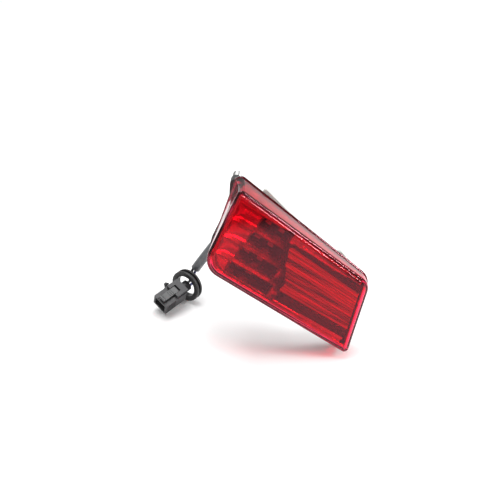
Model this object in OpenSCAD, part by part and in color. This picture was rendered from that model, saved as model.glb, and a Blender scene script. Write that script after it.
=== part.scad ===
// High-mounted stop lamp for a rear door, with its harness, panel grommet and plug.
// The panel it bolts to is the plane y = 0. The red lens faces -Y, +Z is up and
// +X is to the right as the lens is looked at. The origin is on the middle rest pad.

/* [Lamp outline] */
// Width of the lamp at its mid height
lamp_w = 95; // [79:1:114]
// Height of the lamp at its middle
lamp_h = 45; // [40:1:54]
// How far the top edge drops to the right, in degrees
top_slope = 4.5; // [1:0.5:5.5]
// How far the bottom edge drops to the right, in degrees
bottom_slope = 1.5; // [0:0.5:2.5]
// Lean of the left end, in degrees
left_lean = 9.5; // [5:0.5:12]
// Lean of the right end, in degrees
right_lean = 21.5; // [14:0.5:23]
// Corner radius, upper left
r_tl = 2.5; // [2:0.5:4]
// Corner radius, upper right
r_tr = 9; // [6:0.5:10]
// Corner radius, lower right
r_br = 2.5; // [2:0.5:5]
// Corner radius, lower left
r_bl = 12; // [8:0.5:14]

/* [Lens] */
// Distance from the panel to the outer lens face, on the origin's line
lens_reach = 23; // [20:0.5:26]
// Rake of the lens face: degrees by which it comes back towards the right end
rake = 8; // [5:0.5:9]
// Lean of the lens face: degrees by which it comes back towards the top
face_lean = 2.5; // [0:0.5:4]
// Thickness of the lens face
face_t = 2.4; // [1.8:0.1:3]
// Thickness of the lens side walls
skirt_t = 2.2; // [1.8:0.1:2.6]
// Depth of the thicker rim at the lens's rear edge
rim_d = 1.6; // [1:0.1:2]
// How far that rim stands proud of the side walls
rim_proud = 0.6; // [0.3:0.1:1]

/* [Rear housing] */
// Thickness of the foam gasket when bolted down
gasket_t = 3; // [2:0.5:4]
// Thickness of the housing's rear plate
plate_t = 2; // [1.6:0.1:2.6]
// Height of the housing's upright wall inside the lens
tongue_h = 4; // [3:0.5:5]
// Thickness of that wall
tongue_t = 1.8; // [1.4:0.1:2.2]
// Radius of the rest pad at the origin
pad_r = 5; // [4:0.5:7]

/* [Studs] */
// Radius of the mounting studs
stud_r = 2.5; // [2:0.5:3]
// Length of stud that stands past its spigot
stud_len = 11; // [9:1:16]
// Wall of the spigot around each stud's root
spigot_wall = 0.6; // [0.6:0.1:1]
// Height of the spigot past the panel face
spigot_h = 3; // [2:0.5:4]

/* [Reflector and board] */
// Number of lamp rows in the reflector
rows = 4; // [3:1:4]
// Height of one row
row_pitch = 10.2; // [9:0.1:10.4]
// Width of the window in the top row
window_w = 19; // [14:1:20]
// How much wider the window of each lower row is
window_step = 3; // [0:0.5:3]
// Height of the window in each row
window_h = 7; // [5:0.5:7.4]
// Thickness of the reflector's thinnest wall
reflector_t = 1.3; // [1:0.1:1.6]
// Thickness of the circuit board
board_t = 1.6; // [1:0.1:1.6]
// Side of one square light-emitting diode
led_side = 3.4; // [2.4:0.1:3.6]

/* [Bezel and right-hand optic] */
// Height of the bezel's window at its middle
optic_h = 23.5; // [18:0.5:24]
// Width of the bezel's upper arm
arm_top = 3; // [2:0.1:4]
// Width of the bezel's lower arm
arm_bottom = 5.5; // [3:0.1:6]
// Width of the bezel's left bar
arm_left = 2.4; // [1.6:0.1:3]
// Thickness of the optic plate
optic_t = 1.8; // [1.2:0.1:2]

/* [Harness] */
// Radius of the harness sleeve
sleeve_r = 3; // [2.6:0.1:3.2]
// Radius of one wire
wire_r = 0.85; // [0.7:0.05:1]
// Outer radius of the panel grommet
grommet_r = 10.2; // [9.5:0.1:11]
// Radius of the grommet's hole
grommet_hole_r = 7; // [6.8:0.1:7.4]
// Length of the grommet along its hole
grommet_l = 5; // [4:0.1:5]

/* [Plug] */
// Length of the plug's body
plug_l = 18; // [17:0.5:21]
// Width of the plug's body
plug_w = 11; // [10:0.5:13]
// Thickness of the plug's body
plug_t = 8.6; // [8:0.1:10]
// Wall of the plug's mouth
plug_wall = 1.2; // [1:0.1:1.5]
// Depth of the plug's mouth
mouth_d = 10; // [8:0.5:11]
// Travel of the terminal lock
lock_travel = 1.5; // [1:0.1:2]

/* [Hidden] */
$fn = 48;
far = 300;          // reach of the cutting blocks, well past the part
eps = 0.01;         // overshoot of a cut past the face it opens
fit_gap = 0.15;     // gap between the housing's wall and the lens skirt
run_gap = 0.06;     // running clearance of pins and slides
lay_gap = 0.4;      // space between the loosely stacked inner pieces

// ---- the lamp's outline, seen from the front, as a leaning four-sided shape
mid_x = 4;
mid_z = -3.7;
lens_rear = -(gasket_t + plate_t);
function line_x(z, side) = side < 0
    ? mid_x - lamp_w / 2 - tan(left_lean) * (z - mid_z)
    : mid_x + lamp_w / 2 - tan(right_lean) * (z - mid_z);
function line_z(x, side) = side < 0
    ? mid_z - lamp_h / 2 - tan(bottom_slope) * (x - mid_x)
    : mid_z + lamp_h / 2 - tan(top_slope) * (x - mid_x);
// a corner is where an upright line and a level line meet, found in a few passes
function meet(sx, sz, x, n) = n == 0
    ? [x, line_z(x, sz)]
    : meet(sx, sz, line_x(line_z(x, sz), sx), n - 1);
corners = [meet(-1, 1, 0, 6), meet(1, 1, 0, 6), meet(1, -1, 0, 6), meet(-1, -1, 0, 6)];
radii = [r_tl, r_tr, r_br, r_bl];

// ---- moves each side of a clockwise polygon inwards and rounds its corners
function unit(v) = v / norm(v);
function inward(a, b) = let (d = unit(b - a)) [d[1], -d[0]];
function cross_of(p, d, q, e) = p + d * ((q - p) * [e[1], -e[0]]) / (d * [e[1], -e[0]]);
function inset(pts, by) = let (n = len(pts)) [
    for (i = [0 : n - 1])
        let (a = pts[(i + n - 1) % n], b = pts[i], c = pts[(i + 1) % n],
             m = inward(a, b) * by, k = inward(b, c) * by)
            cross_of(b + m, b - a, b + k, c - b)];
function corner_arc(a, b, c, r, n) = let (
    u = unit(a - b), v = unit(c - b), half = acos(u * v) / 2, centre = b + unit(u + v) * r / sin(half),
    from = b + u * r / tan(half) - centre, turn = -(180 - 2 * half))
    [for (k = [0 : n]) let (t = turn * k / n)
        centre + [from[0] * cos(t) - from[1] * sin(t), from[0] * sin(t) + from[1] * cos(t)]];
function rounded(pts, rs) = let (n = len(pts)) [
    for (i = [0 : n - 1])
        each corner_arc(pts[(i + n - 1) % n], pts[i], pts[(i + 1) % n], rs[i], rs[i] > 5 ? 10 : 4)];
function outline(by) = rounded(inset(corners, by), [for (r = radii) max(r - by, 0.4)]);

// ---- solids between two depths; a larger y is nearer the panel
module slab(y_front, y_rear) {
    translate([0, y_rear, 0])
        rotate([90, 0, 0])
            linear_extrude(height = y_rear - y_front) children();
}
// everything in front of, or behind, a plane parallel to the lens face
module tilted() {
    rotate([-face_lean, 0, rake]) children();
}
module ahead_of(reach) {
    translate([0, -reach, 0]) tilted() translate([-far, -far, -far]) cube([2 * far, far, 2 * far]);
}
module behind(reach) {
    translate([0, -reach, 0]) tilted() translate([-far, 0, -far]) cube([2 * far, far, 2 * far]);
}
// a shaft along y
module shaft(x, z, y_from, y_to, r) {
    translate([x, y_to, z]) rotate([90, 0, 0]) cylinder(r = r, h = y_to - y_from);
}

// ---- places shared by several pieces
cavity_reach = lens_reach - face_t;
housing_in = skirt_t + fit_gap;
tongue_front = lens_rear - tongue_h;
reflector_in = housing_in + 0.3;
gland_front = lens_rear + 0.5;
spigot_r = stud_r + spigot_wall;
stud_at = [[corners[0][0] + 0.2, corners[0][1] - 6.2], [corners[2][0] - 10, corners[2][1] + 8]];
stud_root = lens_rear + 0.4;
stud_root_r = stud_r - 0.3;
gland_at = [-30, -4];
gland_r = sleeve_r + 1.2;
exit_boss_r = gland_r + 1.8;
exit_boss_y = 2;
vent_at = [30, -6];
vent_r = 2.4;
row_mid = mid_z;
row_z = [for (i = [0 : rows - 1]) row_mid + ((rows - 1) / 2 - i) * row_pitch];
reflector_reach = cavity_reach - 1;
trough_r = row_pitch / 2 - 0.15;
trough_floor = reflector_reach - trough_r;
window_x = -27.5;
board_back = lens_rear - 1;
board_face = board_back - board_t;
board_x = [window_x - 9.5, window_x + window_w + 1];
board_z = [row_z[rows - 1] - 2.4, row_z[0] + 2.4];
screw_r = 1.1;
screw_at = [for (i = [0, rows - 2]) [board_x[0] + 3, (row_z[i] + row_z[i + 1]) / 2]];
bezel_reach = cavity_reach - 0.6;
optic_reach = bezel_reach - 1.2;
optic_mid_z = -3.4;
optic_left = 1.6;

// ---- the ear at the upper left corner, which backs the upper stud
ear_reach = 12;
module corner_ear(by) {
    hull() {
        translate(stud_at[0]) circle(r = spigot_r + by, $fn = 32);
        translate([line_x(stud_at[0][1] - ear_reach, -1) + 2, stud_at[0][1] - ear_reach])
            circle(r = 1, $fn = 16);
        translate([stud_at[0][0] + ear_reach, line_z(stud_at[0][0] + ear_reach, 1) - 2])
            circle(r = 1, $fn = 16);
    }
}

// ---- red lens: one moulded shell, closed by the raked face
module lens() {
    color([0.82, 0.05, 0.1, 0.6])
        difference() {
            union() {
                intersection() {
                    slab(-far / 2, lens_rear) polygon(outline(0));
                    behind(lens_reach);
                }
                slab(lens_rear - rim_d, lens_rear) polygon(outline(-rim_proud));
                slab(lens_rear - rim_d, lens_rear) corner_ear(-0.8);
            }
            intersection() {
                slab(-far / 2, lens_rear + eps) polygon(outline(skirt_t));
                behind(cavity_reach);
            }
        }
}

// ---- the bezel's window: a leaning shape that is open to the right
function window_pts(grow_left, grow_top, grow_bottom, right) = let (
    zt = optic_mid_z + optic_h / 2 + grow_top, zb = optic_mid_z - optic_h / 2 - grow_bottom,
    k = tan(right_lean))
    [[optic_left - grow_left - k * (zt - optic_mid_z), zt],
     [line_x(zt, 1) - right / cos(right_lean), zt],
     [line_x(zb, 1) - right / cos(right_lean), zb],
     [optic_left - grow_left - k * (zb - optic_mid_z), zb]];
// the line of the window's left bar, this far outside it, carried past top and bottom
function bar_line(out) = let (w = window_pts(out, far, far, 0)) [w[3], w[0]];
arm_end = housing_in + tongue_t + 0.2;
module inner_optic() {
    color([0.75, 0.06, 0.12, 0.8])
        intersection() {
            slab(-far / 2, lens_rear - 0.1) polygon(window_pts(0, 0, 0, arm_end));
            slab(-far / 2, lens_rear) polygon(outline(arm_end));
            behind(optic_reach);
            ahead_of(optic_reach - optic_t);
        }
}
module optic_bezel() {
    color([0.1, 0.09, 0.1])
        intersection() {
            slab(-far / 2, lens_rear) difference() {
                polygon(window_pts(arm_left, arm_top, arm_bottom, arm_end));
                polygon(window_pts(0, 0, 0, -far));
            }
            slab(-far / 2, far) polygon(outline(arm_end));
            behind(bezel_reach);
        }
}

// ---- metallised reflector: rows of troughs with a window in each
module trough(z) {
    translate([0, -reflector_reach, z])
        rotate([0, 90, rake])
            translate([0, 0, -far / 2]) cylinder(r = trough_r, h = far);
}
// everything to the left of the bezel's bar, this far from it
module left_of_bar(gap) {
    slab(-far / 2, far)
        polygon(concat([[-far, far], [-far, -far]], bar_line(arm_left + gap)));
}
module reflector() {
    trough_end = 0.8;
    color([0.85, 0.85, 0.87])
        difference() {
            intersection() {
                slab(-far / 2, tongue_front) difference() {
                    polygon(outline(reflector_in));
                    polygon(window_pts(arm_left + lay_gap, arm_top + lay_gap, arm_bottom + lay_gap, -far));
                }
                behind(reflector_reach);
            }
            intersection() {
                for (z = row_z) trough(z);
                slab(-far / 2, tongue_front - eps) polygon(outline(reflector_in + reflector_t));
                left_of_bar(lay_gap + trough_end);
            }
            intersection() {
                slab(-far / 2, tongue_front + eps) polygon(outline(reflector_in + reflector_t));
                behind(trough_floor - reflector_t);
                slab(-far / 2, far) polygon([[window_x + window_w + 1, far], [window_x + window_w + 1, -far],
                                             [-far, -far], [-far, far]]);
            }
            for (i = [0 : rows - 1])
                translate([window_x, -far / 2, row_z[i] - window_h / 2])
                    cube([window_w + i * window_step, far, window_h]);
        }
}

// ---- black rear housing: plate, upright wall, posts, spigots and bosses
module housing_wall() {
    intersection() {
        slab(tongue_front, lens_rear + eps) difference() {
            polygon(outline(housing_in));
            polygon(outline(housing_in + tongue_t));
        }
        behind(cavity_reach - 0.3);
    }
}
module rear_housing() {
    color([0.07, 0.07, 0.075])
        difference() {
            union() {
                slab(lens_rear, -gasket_t) polygon(outline(0.25));
                slab(lens_rear, -gasket_t) corner_ear(0);
                housing_wall();
                shaft(0, 0, -gasket_t - eps, 0, pad_r);
                shaft(gland_at[0], gland_at[1], -gasket_t - eps, exit_boss_y, exit_boss_r);
                for (s = stud_at) shaft(s[0], s[1], lens_rear, spigot_h, spigot_r);
                for (s = screw_at) shaft(s[0], s[1], board_back, lens_rear + eps, screw_r + 1);
            }
            shaft(gland_at[0], gland_at[1], lens_rear - eps, exit_boss_y + eps, gland_r);
            shaft(vent_at[0], vent_at[1], lens_rear - eps, eps, vent_r);
            for (s = stud_at) shaft(s[0], s[1], stud_root, spigot_h + eps, stud_root_r);
            for (s = screw_at) shaft(s[0], s[1], board_back - eps, -gasket_t - 0.4, screw_r);
        }
}

// ---- circuit board with its diodes, small parts, terminals and screws
board_terminal_x = [gland_at[0] - 1.2, gland_at[0] + 1.2];
terminal_pin_r = 0.5;
module led_board() {
    color([0.05, 0.12, 0.08])
        difference() {
            intersection() {
                translate([board_x[0], board_face, board_z[0]])
                    cube([board_x[1] - board_x[0], board_t, board_z[1] - board_z[0]]);
                slab(-far / 2, far) polygon(outline(housing_in + tongue_t + lay_gap));
            }
            for (s = screw_at) shaft(s[0], s[1], board_face - eps, board_back + eps, screw_r + 0.1);
            for (x = board_terminal_x)
                shaft(x, gland_at[1], board_face - eps, board_back + eps, terminal_pin_r);
        }
}
led_h = 1;
led_x = [window_x + window_w * 0.3, window_x + window_w * 0.75];
module leds() {
    color([0.93, 0.9, 0.8])
        for (z = row_z)
            for (x = led_x)
                translate([x - led_side / 2, board_face - led_h, z - led_side / 2])
                    difference() {
                        cube([led_side, led_h, led_side]);
                        translate([led_side / 2, 0.3, led_side / 2])
                            rotate([90, 0, 0]) cylinder(r = led_side * 0.36, h = 1);
                    }
}
module board_parts() {
    color([0.12, 0.12, 0.13])
        for (z = row_z)
            translate([board_x[0] + 5.2, board_face - 0.6, z - 1.1]) cube([1.6, 0.6, 3.2]);
    color([0.2, 0.2, 0.2])
        translate([board_x[0] + 1.4, board_face - 1.1, row_z[0] - 2.2]) cube([2.6, 1.1, 3.8]);
}
module board_terminals() {
    color([0.8, 0.65, 0.3])
        for (x = board_terminal_x) {
            shaft(x, gland_at[1], board_face - 0.4, lens_rear, terminal_pin_r);
            shaft(x, gland_at[1], board_face - 0.4, board_face, terminal_pin_r + 0.4);
        }
}
module board_screws() {
    color([0.75, 0.75, 0.77])
        for (s = screw_at)
            difference() {
                union() {
                    shaft(s[0], s[1], board_face - eps, -gasket_t - 0.8, screw_r);
                    shaft(s[0], s[1], board_face - 1, board_face, screw_r + 0.9);
                }
                for (turn = [0, 90])
                    translate([s[0], board_face - 1, s[1]])
                        rotate([0, turn, 0]) cube([2.4, 0.9, 0.5], center = true);
            }
}
module vent_plug() {
    color([0.6, 0.6, 0.62]) {
        shaft(vent_at[0], vent_at[1], lens_rear + 0.2, -gasket_t, vent_r);
        shaft(vent_at[0], vent_at[1], -gasket_t, -gasket_t + 1, vent_r + 1);
    }
}

// ---- foam gasket: a band inside the outline, swelling past it along the top
gasket_band = 7;
gasket_in = 1.2;
gasket_pad = 3;
module gasket_swell(x_from, x_to, proud) {
    hull()
        for (x = [x_from, x_to - 4])
            translate([x, line_z(x, 1) + (x > x_from ? -1 : proud) - 1.6]) circle(r = 1.6, $fn = 24);
}
module foam_gasket() {
    color([0.66, 0.68, 0.66])
        slab(-gasket_t, 0) difference() {
            union() {
                polygon(outline(gasket_in));
                gasket_swell(-31.5, -4, 1.8);
                gasket_swell(23, 36, 0.7);
            }
            difference() {
                polygon(outline(gasket_in + gasket_band));
                for (s = stud_at) translate(s) circle(r = spigot_r + gasket_pad);
            }
            for (s = stud_at) translate(s) circle(r = spigot_r + 0.3);
            translate(stud_at[0] - [far, 0]) square([far, far]);
            translate(stud_at[0]) square([spigot_r, far]);
            translate(gland_at) circle(r = exit_boss_r + 0.3);
        }
}

// ---- steel studs: a plain root moulded into the spigot, then the thread
stud_tip = 0.6;
module stud(i) {
    color([0.72, 0.72, 0.74]) {
        shaft(stud_at[i][0], stud_at[i][1], stud_root, spigot_h + eps, stud_root_r);
        shaft(stud_at[i][0], stud_at[i][1], spigot_h, spigot_h + stud_len - stud_tip, stud_r);
        translate([stud_at[i][0], spigot_h + stud_len - stud_tip, stud_at[i][1]])
            rotate([-90, 0, 0]) cylinder(r1 = stud_r, r2 = stud_r - stud_tip, h = stud_tip);
    }
}
module stud_upper() {
    stud(0);
}
module stud_lower() {
    stud(1);
}

// ---- tapered rubber gland that grips the sleeve where it leaves the housing
gland_head = 2;
gland_taper = 7;
gland_lip = 0.7;
gland_in = exit_boss_y - gland_front;
module cable_gland() {
    color([0.06, 0.06, 0.06])
        translate([gland_at[0], gland_front, gland_at[1]])
            rotate([-90, 0, 0])
                rotate_extrude() polygon([
                    [sleeve_r, 0], [gland_r, 0], [gland_r, gland_in], [exit_boss_r, gland_in],
                    [exit_boss_r, gland_in + gland_head],
                    [sleeve_r + gland_lip, gland_in + gland_head + gland_taper],
                    [sleeve_r, gland_in + gland_head + gland_taper]]);
}

// ---- routes: the sleeve leaves the gland straight back, then hangs down
sleeve_route = [[-30, -4.4, -4], [-30, 4, -4], [-30, 12.5, -4], [-30.2, 19, -6.5], [-30.4, 25, -12],
                [-30.5, 30, -18.5], [-30.6, 34, -26], [-30.6, 37, -34], [-30.5, 39, -42],
                [-30.4, 40.6, -50], [-30.3, 41.6, -58]];
wire_route = [[-29.6, 42.1, -62.5], [-28.7, 41.9, -64.4], [-27.9, 41, -65.9], [-27.8, 39.3, -66.9]];
plug_at = [-31, 33, -71.2];
plug_turn = [0, 38, -120];
plug_dir = [cos(plug_turn[2]) * cos(plug_turn[1]), sin(plug_turn[2]) * cos(plug_turn[1]), -sin(plug_turn[1])];
plug_side = [-sin(plug_turn[2]), cos(plug_turn[2]), 0];
wire_apart = wire_r + 0.3;
seal_depth = 1;
neck_l = 5;
neck_r = 3.4;
neck_wall = 0.9;
sleeve_sides = 12;
wire_sides = 8;

function heading(path, i) = unit(path[min(i + 1, len(path) - 1)] - path[max(i - 1, 0)]);
function ring(p, d, r, n) = let (u = unit(cross(d, [0.3, 0.1, 1])), v = cross(d, u))
    [for (k = [0 : n - 1]) p + r * (cos(360 * k / n) * u + sin(360 * k / n) * v)];
module tube(path, r, n) {
    m = len(path);
    polyhedron(
        points = [for (i = [0 : m - 1]) each ring(path[i], heading(path, i), r, n)],
        faces = concat(
            [[for (k = [0 : n - 1]) k]],
            [for (i = [0 : m - 2]) for (k = [0 : n - 1])
                [i * n + k, (i + 1) * n + k, (i + 1) * n + (k + 1) % n]],
            [for (i = [0 : m - 2]) for (k = [0 : n - 1])
                [i * n + k, (i + 1) * n + (k + 1) % n, i * n + (k + 1) % n]],
            [[for (k = [n - 1 : -1 : 0]) (m - 1) * n + k]]));
}
module harness_sleeve() {
    color([0.32, 0.33, 0.35]) tube(sleeve_route, sleeve_r, sleeve_sides);
}
// a wire starts square on the sleeve's end, and ends square in the plug's seal
sleeve_end = sleeve_route[len(sleeve_route) - 1];
sleeve_dir = heading(sleeve_route, len(sleeve_route) - 1);
sleeve_side = unit(plug_side - sleeve_dir * (plug_side * sleeve_dir));
module wire(side) {
    from_sleeve = [for (t = [0, 2.2]) sleeve_end + sleeve_dir * t + sleeve_side * wire_apart * side];
    into_plug = [for (t = [neck_l + 1.5, seal_depth]) plug_at - plug_dir * t];
    to_plug = [for (p = concat(wire_route, into_plug)) p + plug_side * wire_apart * side];
    tube(concat(from_sleeve, to_plug), wire_r, wire_sides);
}
module wire_left() {
    color([0.05, 0.05, 0.06]) wire(-1);
}
module wire_right() {
    color([0.12, 0.14, 0.3]) wire(1);
}

// ---- panel grommet: a soft ring with a groove for the panel's edge
grommet_at = [-29.317, 35.936, -68.413];
grommet_turn = [0, 111.5, -114];
groove_d = 1.7;
groove_half = 0.8;
module panel_grommet() {
    half = grommet_l / 2;
    color([0.08, 0.08, 0.085])
        translate(grommet_at) rotate(grommet_turn)
            rotate_extrude() polygon([
                [grommet_hole_r, -half], [grommet_r - 0.8, -half], [grommet_r, -half + 0.8],
                [grommet_r, -groove_half], [grommet_r - groove_d, -groove_half],
                [grommet_r - groove_d, groove_half], [grommet_r, groove_half],
                [grommet_r, half - 0.8], [grommet_r - 0.8, half], [grommet_hole_r, half]]);
}

// ---- the plug, drawn along +X with its mouth at the far end and its latch on +Z
module on_plug() {
    translate(plug_at) rotate(plug_turn) children();
}
web_x = plug_l - mouth_d;
block_l = 8.5;
block_h = 2.2;
latch_x = 5.6;
latch_z = plug_t / 2 + 0.7;
latch_pin_r = 0.8;
latch_w = 4.4;
latch_t = 1.1;
latch_slot_w = latch_w + 0.6;
press_room = 0.5;
lock_w = 5.6;
lock_l = 6;
lock_x = 8;
lock_t = 1.3;
rail_w = 4;
rail_h = 1.2;
terminal_r = 0.45;
latch_hub_r = 1.1;
latch_hook_h = 0.9;
module box_at(x, w, z, l, h) {
    translate([x, -w / 2, z]) cube([l, w, h]);
}
module plug_shell() {
    translate([0, 0, -plug_t / 2])
        linear_extrude(height = plug_t)
            polygon([[0, -plug_w / 2 + 1], [1, -plug_w / 2], [plug_l, -plug_w / 2], [plug_l, plug_w / 2],
                     [1, plug_w / 2], [0, plug_w / 2 - 1]]);
}
module plug_body() {
    color([0.13, 0.13, 0.14])
        on_plug() difference() {
            union() {
                plug_shell();
                box_at(0, plug_w - 1, plug_t / 2 - eps, block_l, block_h + eps);
                translate([-neck_l, 0, 0]) rotate([0, 90, 0]) cylinder(r = neck_r, h = neck_l + 1);
            }
            box_at(web_x, plug_w - 2 * plug_wall, -plug_t / 2 + plug_wall, far, plug_t - 2 * plug_wall);
            translate([-neck_l - eps, 0, 0])
                rotate([0, 90, 0]) cylinder(r = neck_r - neck_wall, h = neck_l + 1.2);
            box_at(latch_x - 1.6, latch_slot_w, plug_t / 2, far, far);
            translate([latch_x, 0, latch_z])
                rotate([90, 0, 0]) cylinder(r = latch_pin_r + run_gap, h = plug_w - 2.6, center = true);
            box_at(latch_x - 1.3, latch_slot_w, latch_z - 1.35, 2.6, far);
            box_at(latch_x, latch_slot_w, plug_t / 2 - press_room, far, far);
            box_at(lock_x - 0.3, lock_w + 0.2, -plug_t / 2 - eps, lock_l + lock_travel + 0.6, lock_t - 0.4);
            for (s = [-1, 1])
                translate([0.9, s * wire_apart, 0])
                    rotate([0, 90, 0]) cylinder(r = terminal_r, h = web_x);
        }
}
module plug_latch() {
    reach = plug_l - latch_x - 1;
    color([0.2, 0.2, 0.22])
        on_plug() translate([latch_x, 0, latch_z]) {
            rotate([90, 0, 0]) cylinder(r = latch_pin_r, h = plug_w - 3, center = true);
            rotate([90, 0, 0]) cylinder(r = latch_hub_r, h = latch_w, center = true);
            box_at(0, latch_w, 0, reach, latch_t);
            translate([reach - 2.2, latch_w / 2, 0]) rotate([90, 0, 0])
                linear_extrude(height = latch_w)
                    polygon([[0, latch_t - eps], [1.5, latch_t + latch_hook_h],
                             [2.2, latch_t + latch_hook_h], [2.2, latch_t - eps]]);
        }
}
module terminal_lock() {
    color([0.78, 0.78, 0.8])
        on_plug() box_at(lock_x, lock_w, -plug_t / 2 - 0.4, lock_l, lock_t - 0.06);
}
module plug_terminals() {
    color([0.82, 0.7, 0.4])
        on_plug() for (s = [-1, 1]) {
            translate([1, s * wire_apart, 0]) rotate([0, 90, 0]) cylinder(r = terminal_r, h = web_x);
            translate([web_x + 0.05, s * wire_apart - 0.6, -0.4]) cube([mouth_d - 4, 1.2, 0.8]);
        }
}
module wire_seal() {
    color([0.2, 0.3, 0.6])
        on_plug() difference() {
            translate([-neck_l + 0.4, 0, 0])
                rotate([0, 90, 0]) cylinder(r = neck_r - neck_wall, h = neck_l - 0.9);
            for (s = [-1, 1])
                translate([-neck_l, s * wire_apart, 0])
                    rotate([0, 90, 0]) cylinder(r = wire_r + 0.02, h = neck_l);
        }
}
module harness_clip() {
    color([0.15, 0.15, 0.16])
        on_plug() translate([2, -plug_w / 2, 0]) {
            translate([0, -rail_h, -rail_w / 2]) cube([7, rail_h, rail_w]);
            translate([3.5, -rail_h + eps, 0]) rotate([90, 0, 0]) cylinder(r = 1.1, h = 2);
            translate([3.5, -rail_h - 1.2, 0]) rotate([90, 0, 0]) cylinder(r1 = 1.9, r2 = 0.9, h = 1.8);
        }
}

lens();
inner_optic();
optic_bezel();
reflector();
rear_housing();
led_board();
leds();
board_parts();
board_terminals();
board_screws();
vent_plug();
foam_gasket();
stud_upper();
stud_lower();
cable_gland();
harness_sleeve();
wire_left();
wire_right();
panel_grommet();
plug_body();
plug_latch();
terminal_lock();
plug_terminals();
wire_seal();
harness_clip();
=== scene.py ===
"""A high-mounted stop lamp with its pigtail and plug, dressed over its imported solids.

Every length is in metres in the lamp's own frame: the panel it bolts to is the plane y = 0,
the red lens faces -Y, +Z is up, and the origin is on the housing's middle rest pad.
"""
import math

import bmesh
import bpy
from mathutils import Matrix, Vector


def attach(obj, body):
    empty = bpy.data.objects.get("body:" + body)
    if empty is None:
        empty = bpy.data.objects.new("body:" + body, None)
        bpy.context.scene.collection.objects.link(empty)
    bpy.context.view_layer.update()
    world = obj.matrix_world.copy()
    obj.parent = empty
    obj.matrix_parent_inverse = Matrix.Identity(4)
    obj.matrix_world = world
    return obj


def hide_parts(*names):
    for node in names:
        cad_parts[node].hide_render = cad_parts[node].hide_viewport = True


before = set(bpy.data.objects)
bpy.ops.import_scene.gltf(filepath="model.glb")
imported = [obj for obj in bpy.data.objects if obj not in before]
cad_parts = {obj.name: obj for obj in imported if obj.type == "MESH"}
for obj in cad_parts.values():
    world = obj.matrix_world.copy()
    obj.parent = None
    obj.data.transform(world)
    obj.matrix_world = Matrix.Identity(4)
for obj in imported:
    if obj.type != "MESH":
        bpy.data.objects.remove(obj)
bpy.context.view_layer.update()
MM = 0.001


# ---- Camera
# It looks down on the lens from its upper left, and is turned about its own line of sight, so
# that the lamp leans on the lower right corner of its lens, as it lies on a bench.
def seen_from(azimuth, elevation, roll):
    """The camera's right, up and backward directions."""
    a, e, r = (math.radians(v) for v in (azimuth, elevation, roll))
    back = Vector((math.sin(a) * math.cos(e), -math.cos(a) * math.cos(e), math.sin(e)))
    level = Vector((math.cos(a), math.sin(a), 0))
    upright = back.cross(level)
    right = level * math.cos(r) + upright * math.sin(r)
    return right, back.cross(right), back


eye = bpy.data.objects.new("bench_camera", bpy.data.cameras.new("bench_camera"))
bpy.context.scene.collection.objects.link(eye)
eye_right, eye_up, eye_back = seen_from(-12, 20, 37.5)
eye_at = Vector((-102.8, -396.6, 135.6)) * MM
eye_turn = Matrix((eye_right, eye_up, eye_back)).transposed()
eye.matrix_world = Matrix.Translation(eye_at) @ eye_turn.to_4x4()
eye.data.angle = math.radians(36.2)
eye.data.clip_start = 0.01
bpy.context.scene.camera = eye


# ---- Harness sleeve
# A soft PVC tube, 6 mm across, that holds the two wires from the housing's gland to the plug.
# It leaves the gland straight back, then falls under its own weight, and its end stays open.
def smooth_route(points, steps):
    """Rounded path through listed points, given in millimetres."""
    p = [Vector(v) * MM for v in points]
    p = [p[0] * 2 - p[1]] + p + [p[-1] * 2 - p[-2]]
    path = []
    for a, b, c, d in zip(p, p[1:], p[2:], p[3:]):
        for k in range(steps):
            t = k / steps
            path.append(0.5 * (2 * b + (c - a) * t + (2 * a - 5 * b + 4 * c - d) * t ** 2
                               + (3 * b - a - 3 * c + d) * t ** 3))
    return path + [p[-2]]


def swept_rings(bm, path, radii, sides):
    """Skins a row of round rings along a path, and returns them."""
    heading = [(path[min(i + 1, len(path) - 1)] - path[max(i - 1, 0)]).normalized()
               for i in range(len(path))]
    across = heading[0].orthogonal().normalized()
    rings = []
    for centre, ahead, radius in zip(path, heading, radii):
        across = (across - ahead * across.dot(ahead)).normalized()
        other = ahead.cross(across)
        rings.append([bm.verts.new(centre + radius * (
            across * math.cos(2 * math.pi * k / sides) + other * math.sin(2 * math.pi * k / sides)))
            for k in range(sides)])
    skin(bm, rings)
    return rings


def skin(bm, rings, closed=True):
    """Joins each ring of vertices to the next with four-sided faces."""
    for low, high in zip(rings, rings[1:]):
        count = len(low) if closed else len(low) - 1
        for k in range(count):
            n = (k + 1) % len(low)
            bm.faces.new((low[k], low[n], high[n], high[k]))


def edges_round(bm, ring):
    """The edges from each vertex of a ring to the next."""
    return [bm.edges.get(pair) for pair in zip(ring, ring[1:] + ring[:1])]


def place(name, bm, body, finish, replaced=(), crease=35):
    """Makes a piece of a finished mesh, and says what it rides on and stands for."""
    bmesh.ops.recalc_face_normals(bm, faces=bm.faces)
    mesh = bpy.data.meshes.new(name)
    bm.to_mesh(mesh)
    bm.free()
    mesh.shade_smooth()
    mesh.set_sharp_from_angle(angle=math.radians(crease))
    piece = bpy.data.objects.new(name, mesh)
    bpy.context.scene.collection.objects.link(piece)
    even = piece.modifiers.new("even shading", "WEIGHTED_NORMAL")
    even.keep_sharp = True
    mesh.materials.append(finish)
    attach(piece, body)
    if replaced:
        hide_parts(*replaced)
    return piece


def give_relief(finish, height, depth, strength=1.0):
    """Raises a surface by a texture, by this depth in millimetres."""
    relief = finish.node_tree.nodes.new("ShaderNodeBump")
    relief.inputs["Strength"].default_value = strength
    relief.inputs["Distance"].default_value = depth * MM
    finish.node_tree.links.new(height, relief.inputs["Height"])
    finish.node_tree.links.new(relief.outputs["Normal"],
                               finish.node_tree.nodes["Principled BSDF"].inputs["Normal"])


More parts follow.
